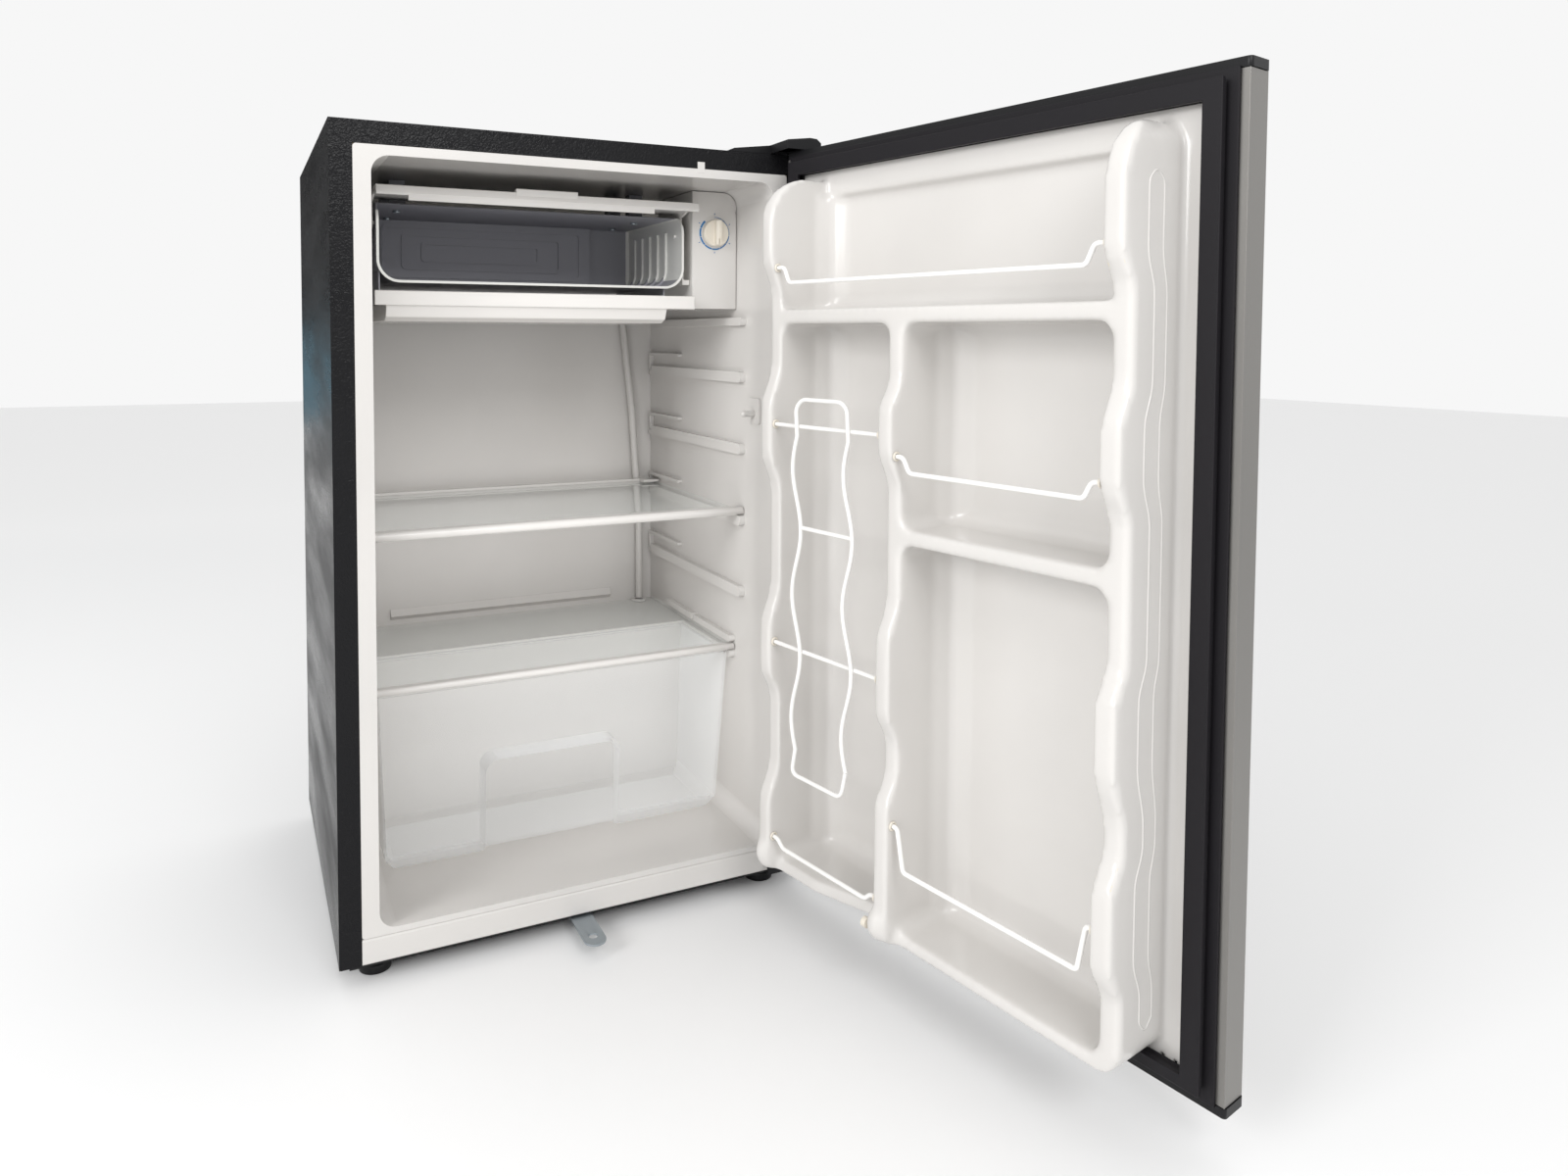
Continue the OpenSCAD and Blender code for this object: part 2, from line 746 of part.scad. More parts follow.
// ---------- feet and strap ----------
module foot(x, y) {
  translate([x, y, -foot_h]) cylinder(h = 8, r = 15);
  translate([x, y, -foot_h + 7.9]) cylinder(h = 3, r = 8);
  translate([x, y, -foot_h + 10]) cylinder(h = 11.5, r = 4);
}

module rear_feet() {
  color("#202022") cab()
    for (x = [35, cab_w - 35]) foot(x, cab_d - 30);
}

module foot_front_left() {
  color("#202022") cab() foot(35, 30);
}

module foot_front_right() {
  color("#202022") cab() foot(cab_w - 35, 30);
}

module lock_strap() {
  color("#A9B2B8") cab()
    along_z(-3.9, -1.9) difference() {
      union() {
        translate([219, -43]) square([22, 71]);
        translate([230, -43]) circle(11);
      }
      translate([230, -38]) circle(4.5);
      translate([230, 20]) circle(2.15);
    }
}

// ---------- door switch ----------
module switch_housing() {
  color("#E9E6E2") cab() {
    difference() {
      union() {
        along_x(cav_x1 - 2.6, cav_x1 - 0.3) rrect([26, 484], [54, 512], 3);
        translate([cav_x1 - 1, 38, 495]) rotate([0, 90, 0]) cylinder(h = 27, r = 6.9);
      }
      translate([cav_x1 - 8, 38, 495]) rotate([0, 90, 0]) cylinder(h = 33, r = 3.55);
    }
  }
}

module switch_plunger() {
  color("#F2F0EC") cab() {
    translate([cav_x1 - 15, 38, 495]) rotate([0, 90, 0]) cylinder(h = 27, r = 3.5);
    translate([cav_x1 - 15, 38, 495]) rotate([0, -90, 0])
      rotate_extrude() intersection() {
        circle(3.5);
        square(5);
      }
  }
}

// ---------- compressor bay ----------
comp_x = 180;
comp_y = 327;

module compressor() {
  color("#1B1B1D") cab() {
    translate([comp_x, comp_y, 12]) {
      rotate_extrude()
        polygon([[0, 0], [26, 0], [48, 8], [54, 22], [56, 50], [56, 88], [52, 108],
          [42, 124], [26, 133], [0, 136]]);
      // flange where the two shell halves are welded
      translate([0, 0, 70]) cylinder(h = 3, r = 58);
    }
    // feet plates
    difference() {
      for (x = [110, 250])
        box([x - 12, 306, 14], [x + 12, cab_d - 12, 16.5]);
      for (x = [110, 250])
        for (y = [cab_d - 80, cab_d - 20])
          translate([x, y, 10]) cylinder(h = 10, r = 6.2);
    }
    box([120, comp_y - 8, 14], [240, comp_y + 8, 17]);
  }
}

module compressor_grommets() {
  color("#101012") cab()
    for (x = [110, 250])
      for (y = [cab_d - 80, cab_d - 20])
        difference() {
          union() {
            translate([x, y, 1.3]) cylinder(h = 12.4, r = 10);
            translate([x, y, 13]) cylinder(h = 4.5, r = 6);
            translate([x, y, 16.8]) cylinder(h = 3, r = 8.5);
          }
          translate([x, y, -2]) cylinder(h = 30, r = 3.2);
        }
}

module compressor_rail() {
  color("#8A8E91") cab()
    difference() {
      union() {
        for (y = [cab_d - 92, cab_d - 32])
          box([30, y, 0], [cab_w - 30, y + 24, 1.2]);
        for (y = [cab_d - 93.5, cab_d - 70])
          box([30, y, 0], [cab_w - 30, y + 1.5, 5]);
      }
      for (x = [110, 250])
        for (y = [cab_d - 80, cab_d - 20])
          translate([x, y, -5]) cylinder(h = 20, r = 3);
      for (x = [35, cab_w - 35])
        translate([x, cab_d - 30, -5]) cylinder(h = 30, r = 6);
    }
}

module relay_cover() {
  color("#26272A") cab()
    difference() {
      union() {
        box([comp_x + 58.6, comp_y - 26, 50], [comp_x + 90, comp_y + 26, 104]);
        box([comp_x + 66, comp_y - 18, 103.9], [comp_x + 84, comp_y + 18, 110]);
      }
      box([comp_x + 50, comp_y - 24, 52], [comp_x + 88, comp_y + 24, 102]);
    }
}

module condenser_coil() {
  // serpentine bonded to the inside of both side panels and joined over the top
  color("#7A4A32") cab() {
    for (s = [0, 1])
      translate([s * cab_w, 0, 0]) mirror([s, 0, 0])
        for (i = [0 : 4]) {
          rod([4.6, 60 + 30 * i, 90], [4.6, 60 + 30 * i, 700], 2.4);
          if (i < 4)
            translate([4.6, 75 + 30 * i, i % 2 == 0 ? 700 : 90])
              rotate([i % 2 == 0 ? 90 : -90, 0, 90])
                rotate_extrude(angle = 180) translate([15, 0]) circle(2.4, $fn = 24);
        }
  }
}

module filter_drier() {
  color("#B87346") cab() {
    translate([330, 330, 40])
      rotate_extrude()
        polygon([[0, 0], [3, 0], [3, 8], [9.5, 16], [9.5, 88], [3, 96], [3, 104], [0, 104]]);
  }
}

module bay_tubes() {
  color("#B87346") cab() {
    // discharge tube, suction tube, process tube, drier inlet and capillary
    wire([[142.5, 284.8, 90], [130, 270.7, 90], [60, 270.7, 120], [60, 270.7, 176]], 2.6);
    wire([[219.5, 286.7, 95], [235.2, 270.7, 95], [423, 270.7, 110], [423, 288, 150],
      [423, 288, 182]], 3.6);
    wire([[129.2, 351.5, 70], [104, 363.7, 70], [104, 363.7, 104]], 2.6);
    wire([[330, 330, 39.7], [330, 330, 24], [330, 267, 24], [75, 267, 24], [75, 267, 60]],
      2.2);
    wire([[330, 330, 144.3], [330, 330, 160], [415, 288, 160], [415, 288, 180]], 1.4);
  }
}

module water_pan() {
  color("#2B2C2F") cab()
    difference() {
      union() {
        along_z(152, 178) rrect([110, 272], [252, 382], 12);
        along_z(176, 178) rrect([106, 268], [256, 386], 14);
      }
      along_z(154, 190) rrect([112, 274], [250, 380], 10);
    }
}

module cord_gland() {
  color("#17181A") cab() {
    difference() {
      union() {
        along_y(cab_d - 9, cab_d - 3) rrect([396, 40], [426, 66], 5);
        translate([411, cab_d - 1, 53]) rotate([90, 0, 0]) cylinder(h = 14, r = 8);
      }
      translate([411, cab_d + 4, 53]) rotate([90, 0, 0]) cylinder(h = 30, r = 4);
    }
    box([393, cab_d - 12, 2], [429, cab_d - 9.3, 72]);
  }
}

// ---------- door ----------
module door_skin() {
  color("#B4B2AF") swing() {
    difference() {
      box([0, -door_t, door_z0 + 7.5], [cab_w, -0.4, door_z1 - 7.5]);
      box([sheet_t, -door_t + sheet_t, 0], [cab_w - sheet_t, -0.4 - sheet_t, 900]);
      box([14, -3, 0], [cab_w - 14, 3, 900]);
    }
  }
}

module door_cap(z0, z1) {
  along_z(z0, z1) rrect([-0.8, -door_t - 0.8], [cab_w + 0.8, 0], 3);
}

module door_top_cap() {
  color("#121213") swing() {
    difference() {
      union() {
        door_cap(door_z1 - 7.2, door_z1);
        box([1.6, -door_t + 1.6, door_z1 - 22], [19.5, -2.6, door_z1 - 7]);
      }
      translate([hinge_in, door_gap - hinge_out, door_z1 - 30]) cylinder(h = 40, r = 6.5);
    }
  }
}

module door_bottom_cap() {
  color("#121213") swing() {
    difference() {
      union() {
        door_cap(door_z0, door_z0 + 7.2);
        box([1.6, -door_t + 1.6, door_z0 + 7], [19.5, -2.6, door_z0 + 22]);
      }
      translate([hinge_in, door_gap - hinge_out, door_z0 - 10]) cylinder(h = 40, r = 6.5);
    }
  }
}

module door_bushes() {
  color("#D8D6D2") swing()
    for (z = [door_z0 + 0.2, door_z1 - 16.2])
      difference() {
        translate([hinge_in, door_gap - hinge_out, z]) cylinder(h = 16, r = 6.4);
        translate([hinge_in, door_gap - hinge_out, z - 1]) cylinder(h = 18, r = 4.05);
      }
}

// share of the bulge at height z, for ramps a-b up and c-d down
function ramp(z, a, b) = z <= a ? 0 : z >= b ? 1 : (1 - cos(180 * (z - a) / (b - a))) / 2;
function bulge(z, list) =
  max([for (k = list) ramp(z, k[0], k[1]) * (1 - ramp(z, k[2], k[3]))]);
// rounding at the ends of a divider's profile
function ends(z, z0, z1, r0, r1) =
  let (a = max(0, z0 + r0 - z), b = max(0, z - z1 + r1))
    max(0, r0 - sqrt(max(0, r0 * r0 - a * a)), r1 - sqrt(max(0, r1 * r1 - b * b)));
function crest(z, list, z0, z1, r0, r1) =
  ledge_w + (bulge_w - ledge_w) * bulge(z, list) - ends(z, z0, z1, r0, r1);

// a divider's side profile in w and z, shrunk by g
module divider(list, z0, z1, r0, r1, g) {
  n = 96;
  a = z0 + g;
  b = z1 - g;
  pts = [for (i = [0 : n])
    let (z = a + (b - a) * (1 - cos(180 * i / n)) / 2)
      [max(-1, crest(z0 + (z - a) * (z1 - z0) / (b - a), list, z0, z1, r0, r1) - g), z]];
  polygon(concat([[-24, a]], pts, [[-24, b]]));
}

// lower end of the dividers
div_z0 = 48.2;
bulges_hinge = [[20, 30, 116, 161], [221, 256, 290, 340], [428, 470, 508, 555],
  [618, 660, 800, 801]];
bulges_mid = [[20, 30, 167, 203], [222, 256, 313, 356], [446, 486, 514, 547]];
bulges_free = [[103, 134, 187, 214], [229, 276, 322, 350], [446, 480, 516, 549],
  [610, 643, 800, 801]];

// the openings between the dividers: can column, top bin, shelf bin, bottle bin
module bins(g) {
  rrect([61 - g, 62 - g], [203 + g, 592 + g], 12);
  rrect([61 - g, 606 - g], [417 + g, 719 + g], 12);
  rrect([220 - g, 415 - g], [417 + g, 592 + g], 12);
  rrect([220 - g, 60 - g], [417 + g, 401 + g], 12);
}

// everything on the foam side of the door liner, shrunk by g
module door_core(g) {
  difference() {
    union() {
      box([20 + g, -24, door_z0 + 16 + g], [cab_w - 20 - g, -g, door_z1 - 16 - g]);
      intersection() {
        translate([0, 100, 0]) rotate([90, 0, 0]) linear_extrude(130)
          rrect([44 + g, div_z0 + g], [434 - g, 737 - g], 22 - g);
        union() {
          along_x(44 + g, 61 - g) divider(bulges_hinge, div_z0, 735, 20, 48, g);
          along_x(203 + g, 220 - g) divider(bulges_mid, div_z0, 606, 14, 12, g);
          along_x(417 + g, 434 - g) divider(bulges_free, div_z0, 735, 20, 48, g);
          box([50, -24, div_z0 + g], [428, ledge_w - g, 606 - g]);
        }
      }
    }
    translate([0, 100, 0]) rotate([90, 0, 0]) linear_extrude(108 + g) bins(g);
    box([61 - g, -g, 606 - g], [417 + g, 100, 800]);
    // the foot of the can column slants back towards the middle divider
    along_z(0, 70)
      polygon([[112, 60.6 - g], [203 + g, 38 - g], [203 + g, 100], [112, 100]]);
  }
}

module door_liner() {
  color("#EAE7E2") swing() {
    difference() {
      door_core(0);
      door_core(liner_t);
      box([0, -30, 0], [500, -13, 900]);
      box([20 + liner_t, -30, door_z0 + 17 + liner_t],
        [42, -liner_t, door_z1 - 17 - liner_t]);
      // holes for the wires
      translate([0, 65, 646]) rotate([0, 90, 0])
        for (u = [55, 412]) translate([0, 0, u]) cylinder(h = 12, r = 2.3);
      for (z = [495, 281, 86])
        translate([55, 66.5, z]) rotate([0, 90, 0]) cylinder(h = 12, r = 2.3);
      for (z = [495, 281, 86])
        translate([198, 66.5, z]) rotate([0, 90, 0]) cylinder(h = 12, r = 2.3);
      for (z = [478, 157])
        translate([0, 66, z]) rotate([0, 90, 0])
          for (u = [214, 412]) translate([0, 0, u]) cylinder(h = 12, r = 2.3);
    }
  }
}

module door_foam() {
  color("#E3D9A8") swing() {
    intersection() {
      door_core(liner_t + 0.4);
      box([2, -door_t + 1.2, door_z0 + 24], [cab_w - 2, 100, door_z1 - 24]);
    }
  }
}

// frame between margins m0 and m1 of the door's edge, its foot thinner by foot
module frame_ring(m0, m1, w0, w1, foot = 0) {
  translate([0, w1, 0]) rotate([90, 0, 0]) linear_extrude(w1 - w0) difference() {
    translate([m0, door_z0 + m0]) square([cab_w - 2 * m0, door_z1 - door_z0 - 2 * m0]);
    translate([m1, door_z0 + m1 - foot])
      square([cab_w - 2 * m1, door_z1 - door_z0 - 2 * m1 + foot]);
  }
}

module door_gasket() {
  color("#18181A") swing() {
    frame_ring(6, 27, 0.2, 2.6, 5.5);
    frame_ring(15.5, 17, 2.5, 7.6);
    frame_ring(19.5, 21, 2.5, 7.6);
    frame_ring(13, 27.5, 7.5, door_gap - 0.6, 5.5);
  }
}

// ---------- wires on the door ----------
wr = 1.9;

// retainer that runs between two dividers and drops in the middle
module dropped_wire(u0, u1, z0, z1, w, run) {
  wire([[u0, w, z0], [u0 + run, w, z0], [u0 + run + 7, w, z1], [u1 - run - 7, w, z1],
    [u1 - run, w, z0], [u1, w, z0]], wr);
}

module top_bin_wire() {
  color("#F1EEEA") swing() dropped_wire(59.3, 418.7, 646, 631, 65, 12);
}

module shelf_bin_wire() {
  color("#F1EEEA") swing() dropped_wire(218.3, 418.7, 478, 465, 66, 10);
}

module bottle_bin_wire() {
  color("#F1EEEA") swing() dropped_wire(218.3, 418.7, 157, 121, 66, 8);
}

module can_bin_wire() {
  color("#F1EEEA") swing() dropped_wire(59.3, 204.7, 86, 79, 66.5, 9);
}

// ladder of two wavy uprights that holds the cans
function wave(c, z) = [c - 6 * cos(3 * (z - 216)), 69.8, z];

module can_rack() {
  color("#F1EEEA") swing() {
    for (z = [495, 281]) rod([59.3, 66.5, z], [204.7, 66.5, z], wr);
    left = [for (i = [0 : 15]) wave(97, 186 + 20 * i)];
    right = [for (i = [0 : 15]) wave(166, 186 + 20 * i)];
    wire(concat([[120, 69.8, 160], [97, 69.8, 160], [91, 69.8, 170]], left,
      [[95, 69.8, 513], [104, 69.8, 521], [125, 69.8, 521]]), wr);
    wire(concat([[119.9, 69.8, 160], [150, 69.8, 160], [158, 69.8, 168]], right,
      [[164, 69.8, 515], [156, 69.8, 521], [124.9, 69.8, 521]]), wr);
    rod([wave(97, 400)[0], 69.8, 400], [wave(166, 400)[0], 69.8, 400], wr * 0.96);
  }
}

// ringed bush where a wire enters a divider
module ring(u, w, z, s) {
  translate([u, w, z]) rotate([0, 90, 0]) difference() {
    translate([0, 0, s > 0 ? 0 : -1.2]) cylinder(h = 1.2, r = 4);
    translate([0, 0, -5]) cylinder(h = 10, r = 2.2);
  }
}

module wire_bushes() {
  color("#E2DBD0") swing() {
    ring(61.3, 65, 646, 1);
    ring(416.7, 65, 646, -1);
    for (z = [495, 281, 86]) {
      ring(61.3, 66.5, z, 1);
      ring(202.7, 66.5, z, -1);
    }
    for (z = [478, 157]) {
      ring(220.3, 66, z, 1);
      ring(416.7, 66, z, -1);
    }
  }
}

outer_shell();
back_panel();
back_screws();
compressor_bay_panel();
base_frame();
cabinet_foam();
inner_liner();
bottom_trim();
evaporator();
evaporator_screws();
evaporator_clip();
thermostat_housing();
thermostat_body();
dial_scale();
thermostat_knob();
suction_sleeve();
line_grommet();
top_hinge_plate();
hinge_cover();
hinge_screws();
lower_hinge_bracket();
rear_feet();
foot_front_left();
foot_front_right();
lock_strap();
switch_housing();
switch_plunger();
compressor();
compressor_grommets();
compressor_rail();
relay_cover();
condenser_coil();
filter_drier();
bay_tubes();
water_pan();
cord_gland();
drip_tray();
freezer_flap();
shelf_glass();
shelf_trim();
crisper_glass();
crisper_trim();
crisper_drawer();
door_skin();
door_top_cap();
door_bottom_cap();
door_foam();
door_liner();
door_gasket();
door_bushes();
top_bin_wire();
can_rack();
can_bin_wire();
shelf_bin_wire();
bottle_bin_wire();
wire_bushes();
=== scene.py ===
import json
import math

import bmesh
import bpy
from mathutils import Matrix, Vector


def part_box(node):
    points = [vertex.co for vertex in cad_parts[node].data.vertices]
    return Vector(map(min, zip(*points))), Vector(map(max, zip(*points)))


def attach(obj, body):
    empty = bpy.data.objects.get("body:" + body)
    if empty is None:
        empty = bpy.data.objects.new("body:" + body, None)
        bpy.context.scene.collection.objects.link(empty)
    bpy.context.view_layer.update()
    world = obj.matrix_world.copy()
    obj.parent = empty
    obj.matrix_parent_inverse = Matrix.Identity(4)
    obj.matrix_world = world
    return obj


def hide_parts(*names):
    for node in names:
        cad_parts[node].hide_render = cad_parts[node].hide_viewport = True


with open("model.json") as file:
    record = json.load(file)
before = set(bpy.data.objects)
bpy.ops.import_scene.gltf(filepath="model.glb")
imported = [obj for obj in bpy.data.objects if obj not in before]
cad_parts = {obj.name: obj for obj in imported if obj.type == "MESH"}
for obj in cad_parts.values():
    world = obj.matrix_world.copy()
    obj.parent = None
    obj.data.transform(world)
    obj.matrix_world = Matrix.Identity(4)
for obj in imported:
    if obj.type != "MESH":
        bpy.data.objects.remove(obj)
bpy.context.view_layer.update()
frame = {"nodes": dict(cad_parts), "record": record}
RECORD = frame["record"]
NODES = frame["nodes"]
MM = 0.001
# vertices closer than this, in metres, are one
WELD = 0.00001

# ---------- sizes of the cabinet and the door, in mm, as in part.scad ----------
CAB_W, CAB_D, FOOT_H = 480, 396, 20
# gap between the door panel and the cabinet, the hinge axis and the door's open angle
DOOR_GAP = 12
HINGE_X, HINGE_Y = CAB_W - 12, -25.5
DOOR_OPEN = math.radians(101.7)

# faces of the three dividers, measured from the hinge edge
HINGE_DIV, MID_DIV_NEAR, MID_DIV_FAR, FREE_DIV, FREE_OUTER = 61, 203, 220, 417, 434
# the bins between the dividers, from u0 to u1 and from z0 to z1, and their back wall
CAN_COLUMN = (HINGE_DIV, MID_DIV_NEAR, 62, 592)
TOP_BIN = (HINGE_DIV, FREE_DIV, 606, 719)
SHELF_BIN = (MID_DIV_FAR, FREE_DIV, 415, 592)
BOTTLE_BIN = (MID_DIV_FAR, FREE_DIV, 60, 401)
BIN_BACK = -8
SIDE_FILLET, LEVEL_FILLET = 24, 15

# wires that drop in the middle: piece, CAD node, bin, depth, height at the ends, height in
# the middle, and the straight run before the drop
CAN_WIRE_W = 66.5
DROPPED_WIRES = [
    ("top_wire", "top_bin_wire", TOP_BIN, 65, 646, 631, 12),
    ("shelf_wire", "shelf_bin_wire", SHELF_BIN, 66, 478, 465, 10),
    ("bottle_wire", "bottle_bin_wire", BOTTLE_BIN, 66, 157, 121, 8),
    ("can_foot_wire", "can_bin_wire", CAN_COLUMN, CAN_WIRE_W, 86, 79, 9)]
DROP_SLANT = 7
WIRE_R = 2.05
# how far a wire's end goes into its divider
WIRE_SEAT = 1.7

# the can rack: its depth, the middles of its wavy rails, their waves, and the cross wires
RACK_W = 69.8
RACK_RAILS = (97, 166)
WAVE_SWING, WAVE_LENGTH, WAVE_CREST_Z = 6, 120, 216
WAVE_Z = range(186, 487, 5)
RUNG_Z = 400
CROSS_Z = (495, 281)

# bulges of the free divider: heights where each starts, is full, starts to fall and ends
FREE_BULGES = [(103, 134, 187, 214), (229, 276, 322, 350), (446, 480, 516, 549),
               (610, 643, 800, 801)]


def row(x, y, z):
    """A point from the cabinet's lower front left corner, in mm, in the row frame."""
    return Vector(((x - CAB_W / 2) * MM, (y - CAB_D / 2) * MM, (z + FOOT_H) * MM))


def door(u, w, z):
    """A point on the open door: u from the hinge edge, w towards the cabinet, z up, in mm."""
    dx = CAB_W - u - HINGE_X
    dy = w - DOOR_GAP - HINGE_Y
    c, s = math.cos(DOOR_OPEN), math.sin(DOOR_OPEN)
    return row(HINGE_X + dx * c - dy * s, HINGE_Y + dx * s + dy * c, z)


# ---------- materials ----------
def add_node(tree, kind, setup=None, **inputs):
    """A shader node of that kind, set up, with those values in its inputs."""
    node = tree.nodes.new("ShaderNode" + kind)
    for key, value in (setup or {}).items():
        setattr(node, key, value)
    for key, value in inputs.items():
        node.inputs[key.replace("_", " ")].default_value = value
    return node


def new_material(name, base, rough):
    """A material of one colour and roughness, its node tree and its principled shader."""
    m = bpy.data.materials.new(name)
    m.use_nodes = True
    bsdf = m.node_tree.nodes["Principled BSDF"]
    bsdf.inputs["Base Color"].default_value = (*base, 1)
    bsdf.inputs["Roughness"].default_value = rough
    return m, m.node_tree, bsdf


def material(name, base, rough, grain, bump, metal=0.0, wear=0.0, **sockets):
    """A principled material with fine grain in bump, and slow uneven wear in gloss and colour.
    grain is the size of the grain in mm; wear is how far the roughness wanders."""
    m, nt, bsdf = new_material(name, base, rough)
    bsdf.inputs["Metallic"].default_value = metal
    for key, value in sockets.items():
        bsdf.inputs[key.replace("_", " ")].default_value = value
    coord = add_node(nt, "TexCoord")
    noise = add_node(nt, "TexNoise", Scale=1000 / grain, Detail=3)
    relief = add_node(nt, "Bump", Strength=bump, Distance=grain * MM * 0.5)
    nt.links.new(coord.outputs["Object"], noise.inputs["Vector"])
    nt.links.new(noise.outputs["Fac"], relief.inputs["Height"])
    nt.links.new(relief.outputs["Normal"], bsdf.inputs["Normal"])
    if wear:
        slow = add_node(nt, "TexNoise", Scale=9, Detail=6)
        span = add_node(nt, "MapRange", To_Min=max(0.0, rough - wear), To_Max=rough + wear)
        tint = add_node(nt, "Mix", {"data_type": "RGBA"}, A=(*[c * 0.94 for c in base], 1),
                        B=(*[min(1, c * 1.04) for c in base], 1))
        nt.links.new(coord.outputs["Object"], slow.inputs["Vector"])
        nt.links.new(slow.outputs["Fac"], span.inputs["Value"])
        nt.links.new(slow.outputs["Fac"], tint.inputs["Factor"])
        nt.links.new(span.outputs["Result"], bsdf.inputs["Roughness"])
        nt.links.new(tint.outputs["Result"], bsdf.inputs["Base Color"])
    return m


def clear_material(name, tint, rough, facing, edge):
    """Glass or clear plastic: nearly invisible face on, milky where it is seen edge on.
    facing and edge are how opaque it is in those two views."""
    m, nt, bsdf = new_material(name, tint, rough)
    bsdf.inputs["IOR"].default_value = 1.45
    turn = add_node(nt, "LayerWeight", Blend=0.35)
    span = add_node(nt, "MapRange", To_Min=facing, To_Max=edge)
    nt.links.new(turn.outputs["Facing"], span.inputs["Value"])
    nt.links.new(span.outputs["Result"], bsdf.inputs["Alpha"])
    coord = add_node(nt, "TexCoord")
    ripple = add_node(nt, "TexNoise", Scale=6, Detail=0)
    relief = add_node(nt, "Bump", Strength=0.02)
    nt.links.new(coord.outputs["Object"], ripple.inputs["Vector"])
    nt.links.new(ripple.outputs["Fac"], relief.inputs["Height"])
    nt.links.new(relief.outputs["Normal"], bsdf.inputs["Normal"])
    return m


def evaporator_material():
    """Grey aluminium darkened by painted shade, with painted light that makes the rolled front
    rim and the ribbed right wall pale.
    """
    # dark is painted shade inside the box, pale is painted light on the front rim and the
    # right wall
    dark, pale = (0.30, 0.30, 0.33), (0.72, 0.72, 0.69)
    rim, wall = 3.2 * MM, 6 * MM
    m = material("aluminium", dark, rough=0.5, metal=0.25, grain=0.9, bump=0.1)
    nt = m.node_tree
    coord = add_node(nt, "TexCoord")
    axes = add_node(nt, "SeparateXYZ")
    nt.links.new(coord.outputs["Object"], axes.inputs["Vector"])
    low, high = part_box("evaporator")
    # mask of the painted light: the front rim and the ribbed right wall
    lit_mask = add_node(nt, "Math", {"operation": "MAXIMUM"})
    for i, (axis, kind, limit) in enumerate((("Y", "LESS_THAN", low[1] + rim),
                                             ("X", "GREATER_THAN", high[0] - wall))):
        test = add_node(nt, "Math", {"operation": kind})
        test.inputs[1].default_value = limit
        nt.links.new(axes.outputs[axis], test.inputs[0])
        nt.links.new(test.outputs[0], lit_mask.inputs[i])
    tint = add_node(nt, "Mix", {"data_type": "RGBA"}, A=(*dark, 1), B=(*pale, 1))
    nt.links.new(lit_mask.outputs[0], tint.inputs["Factor"])
    nt.links.new(tint.outputs["Result"], nt.nodes["Principled BSDF"].inputs["Base Color"])
    return m


def stucco_material():
    """Black sheet steel with an embossed leather-like pattern and streaks in its gloss."""
    m, nt, bsdf = new_material("black_stucco", (0.008, 0.008, 0.009), 0.28)
    bsdf.inputs["Specular IOR Level"].default_value = 0.15
    coord = add_node(nt, "TexCoord")
    # cells whose outlines are bent by a noise
    warp = add_node(nt, "TexNoise", Scale=150)
    bent = add_node(nt, "MixRGB", {"blend_type": "ADD"}, Fac=0.02)
    cells = add_node(nt, "TexVoronoi", {"feature": "SMOOTH_F1"}, Scale=330)
    relief = add_node(nt, "Bump", Strength=0.6, Distance=0.0007)
    nt.links.new(coord.outputs["Object"], warp.inputs["Vector"])
    nt.links.new(coord.outputs["Object"], bent.inputs["Color1"])
    nt.links.new(warp.outputs["Color"], bent.inputs["Color2"])
    nt.links.new(bent.outputs["Color"], cells.inputs["Vector"])
    nt.links.new(cells.outputs["Distance"], relief.inputs["Height"])
    nt.links.new(relief.outputs["Normal"], bsdf.inputs["Normal"])
    # long soft streaks, finer in height than across
    stretch = add_node(nt, "Mapping", Scale=(3, 3, 16))
    streak = add_node(nt, "TexNoise", Scale=1, Detail=5)
    gloss = add_node(nt, "MapRange", From_Min=0.35, From_Max=0.65, To_Min=0.20, To_Max=0.42)
    nt.links.new(coord.outputs["Object"], stretch.inputs["Vector"])
    nt.links.new(stretch.outputs["Vector"], streak.inputs["Vector"])
    nt.links.new(streak.outputs["Fac"], gloss.inputs["Value"])
    nt.links.new(gloss.outputs["Result"], bsdf.inputs["Roughness"])
    return m


